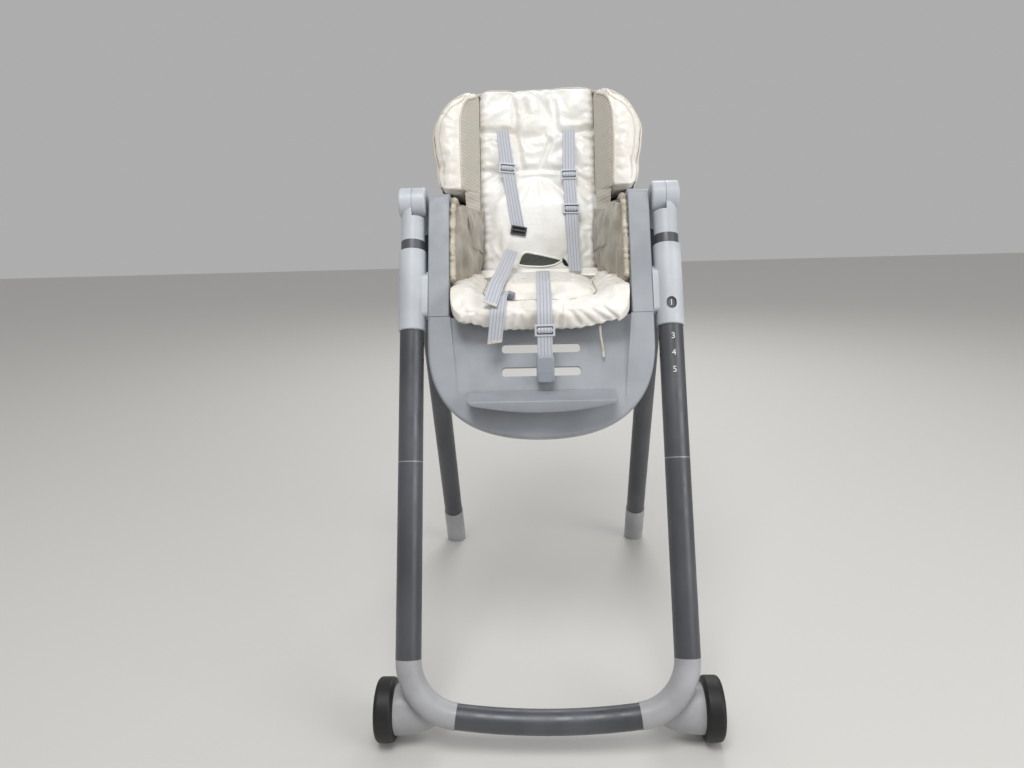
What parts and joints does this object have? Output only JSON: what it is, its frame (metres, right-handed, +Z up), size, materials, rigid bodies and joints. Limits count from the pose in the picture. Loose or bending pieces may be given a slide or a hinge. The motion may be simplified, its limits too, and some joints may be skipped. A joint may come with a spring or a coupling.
{
  "type": "baby high chair",
  "caption": "Folding baby high chair with a padded reclining seat that slides down slanted front legs, a harness, a footrest and wheels at the front corners.",
  "frame": {"origin": "on the floor, under the middle of the chair's outer box", "axes": "+Z up, the sitter faces -Y, +X to the right of the picture"},
  "size_m": [0.56, 0.7976, 1.0569],
  "materials": {
    "leg_tube": "satin",
    "inner_steel": "satin",
    "pale_moulding": "satin",
    "seat_moulding": "satin",
    "shell_moulding": "matte",
    "tyre_black": "matte",
    "wheel_black": "satin",
    "leatherette": "satin",
    "side_lining": "matte",
    "webbing": "matte",
    "harness_plastic": "satin",
    "cord": "matte"
  },
  "bodies": {
    "front_frame": {"left_front_leg_upper": "leg_tube", "right_front_leg_upper": "leg_tube", "left_front_leg_lower": "leg_tube", "right_front_leg_lower": "leg_tube", "left_wheel_corner": "pale_moulding", "right_wheel_corner": "pale_moulding", "left_front_hub": "pale_moulding", "right_front_hub": "pale_moulding", "leg_joint_spigots": "shell_moulding", "front_cross_tube": "leg_tube", "wheel_axles": "inner_steel", "fold_pivot_pins": "inner_steel"},
    "left_wheel": {"left_wheel_core": "wheel_black", "left_tyre": "tyre_black"},
    "right_wheel": {"right_wheel_core": "wheel_black", "right_tyre": "tyre_black"},
    "left_rear_leg": {"left_rear_hub": "pale_moulding", "left_rear_leg_tube": "leg_tube", "left_rear_foot": "pale_moulding"},
    "right_rear_leg": {"right_rear_hub": "pale_moulding", "right_rear_leg_tube": "leg_tube", "right_rear_foot": "pale_moulding"},
    "left_fold_button": {"left_fold_button": "seat_moulding"},
    "right_fold_button": {"right_fold_button": "seat_moulding"},
    "seat": {"left_collar": "pale_moulding", "right_collar": "pale_moulding", "left_side_frame": "seat_moulding", "right_side_frame": "seat_moulding", "left_side_pad": "side_lining", "right_side_pad": "side_lining", "collar_bolts": "inner_steel", "recline_pivot_pins": "inner_steel", "calf_panel": "seat_moulding", "seat_pan": "shell_moulding", "seat_cushion": "leatherette", "left_hip_strap": "webbing", "left_hip_strap_tail": "webbing", "crotch_strap": "webbing", "crotch_strap_slider": "harness_plastic", "buckle": "harness_plastic", "drawstring": "cord", "drawstring_tip": "cord"},
    "left_height_trigger": {"left_height_trigger": "seat_moulding"},
    "right_height_trigger": {"right_height_trigger": "seat_moulding"},
    "left_lock_pin": {"left_lock_pin": "inner_steel"},
    "right_lock_pin": {"right_lock_pin": "inner_steel"},
    "backrest": {"left_back_wing": "leatherette", "right_back_wing": "leatherette", "left_shoulder_strap": "webbing", "right_shoulder_strap": "webbing", "back_shell": "shell_moulding", "recline_lever_pin": "inner_steel", "back_cushion": "leatherette", "shoulder_strap_sliders": "harness_plastic", "strap_ladder_lock": "harness_plastic"},
    "recline_lever": {"recline_lever": "shell_moulding"},
    "footrest": {"footrest": "seat_moulding"},
    "buckle_button": {"buckle_button": "harness_plastic"}
  },
  "joints": [
    {"name": "right_fold", "type": "hinge", "parent": "front_frame", "child": "right_rear_leg", "pos_m": [0.224, 0.00762, 0.84897], "axis": [-1, 0, 0], "range_deg": [0, 42]},
    {"name": "left_fold", "type": "hinge", "parent": "front_frame", "child": "left_rear_leg", "pos_m": [-0.224, 0.00762, 0.84897], "axis": [-1, 0, 0], "range_deg": [0, 42]},
    {"name": "seat_height", "type": "slide", "parent": "front_frame", "child": "seat", "axis": [0, 0.4392, 0.8984], "range_m": [-0.116, 0]},
    {"name": "back_recline", "type": "hinge", "parent": "seat", "child": "backrest", "pos_m": [0, 0.14762, 0.68997], "axis": [-1, 0, 0], "range_deg": [0, 30]},
    {"name": "footrest_pull", "type": "slide", "parent": "seat", "child": "footrest", "axis": [0, -1, 0], "range_m": [0, 0.035]},
    {"name": "recline_lever_pull", "type": "hinge", "parent": "backrest", "child": "recline_lever", "pos_m": [0, 0.28964, 0.97819], "axis": [1, 0, 0], "range_deg": [0, 20], "stiffness_Nm_per_rad": 2},
    {"name": "buckle_press", "type": "slide", "parent": "seat", "child": "buckle_button", "axis": [0, 1, 0], "range_m": [0, 0.0025], "stiffness_N_per_m": 800},
    {"name": "left_wheel_spin", "type": "hinge", "parent": "front_frame", "child": "left_wheel", "pos_m": [-0.265, -0.33736, 0.051], "axis": [1, 0, 0], "continuous": true},
    {"name": "left_fold_press", "type": "slide", "parent": "front_frame", "child": "left_fold_button", "axis": [1, 0, 0], "range_m": [0, 0.004], "stiffness_N_per_m": 1000},
    {"name": "left_height_press", "type": "slide", "parent": "seat", "child": "left_height_trigger", "axis": [0, 0.4392, 0.8984], "range_m": [0, 0.008], "stiffness_N_per_m": 900},
    {"name": "left_lock_draw", "type": "slide", "parent": "seat", "child": "left_lock_pin", "axis": [1, 0, 0], "range_m": [0, 0.008]},
    {"name": "right_wheel_spin", "type": "hinge", "parent": "front_frame", "child": "right_wheel", "pos_m": [0.265, -0.33736, 0.051], "axis": [1, 0, 0], "continuous": true},
    {"name": "right_fold_press", "type": "slide", "parent": "front_frame", "child": "right_fold_button", "axis": [-1, 0, 0], "range_m": [0, 0.004], "stiffness_N_per_m": 1000},
    {"name": "right_height_press", "type": "slide", "parent": "seat", "child": "right_height_trigger", "axis": [0, 0.4392, 0.8984], "range_m": [0, 0.008], "stiffness_N_per_m": 900},
    {"name": "right_lock_draw", "type": "slide", "parent": "seat", "child": "right_lock_pin", "axis": [-1, 0, 0], "range_m": [0, 0.008]}
  ],
  "couplings": [
    {"joint": "left_fold", "follows": "right_fold", "ratio": 1},
    {"joint": "left_lock_draw", "follows": "left_height_press", "ratio": 1},
    {"joint": "right_lock_draw", "follows": "right_height_press", "ratio": 1}
  ]
}
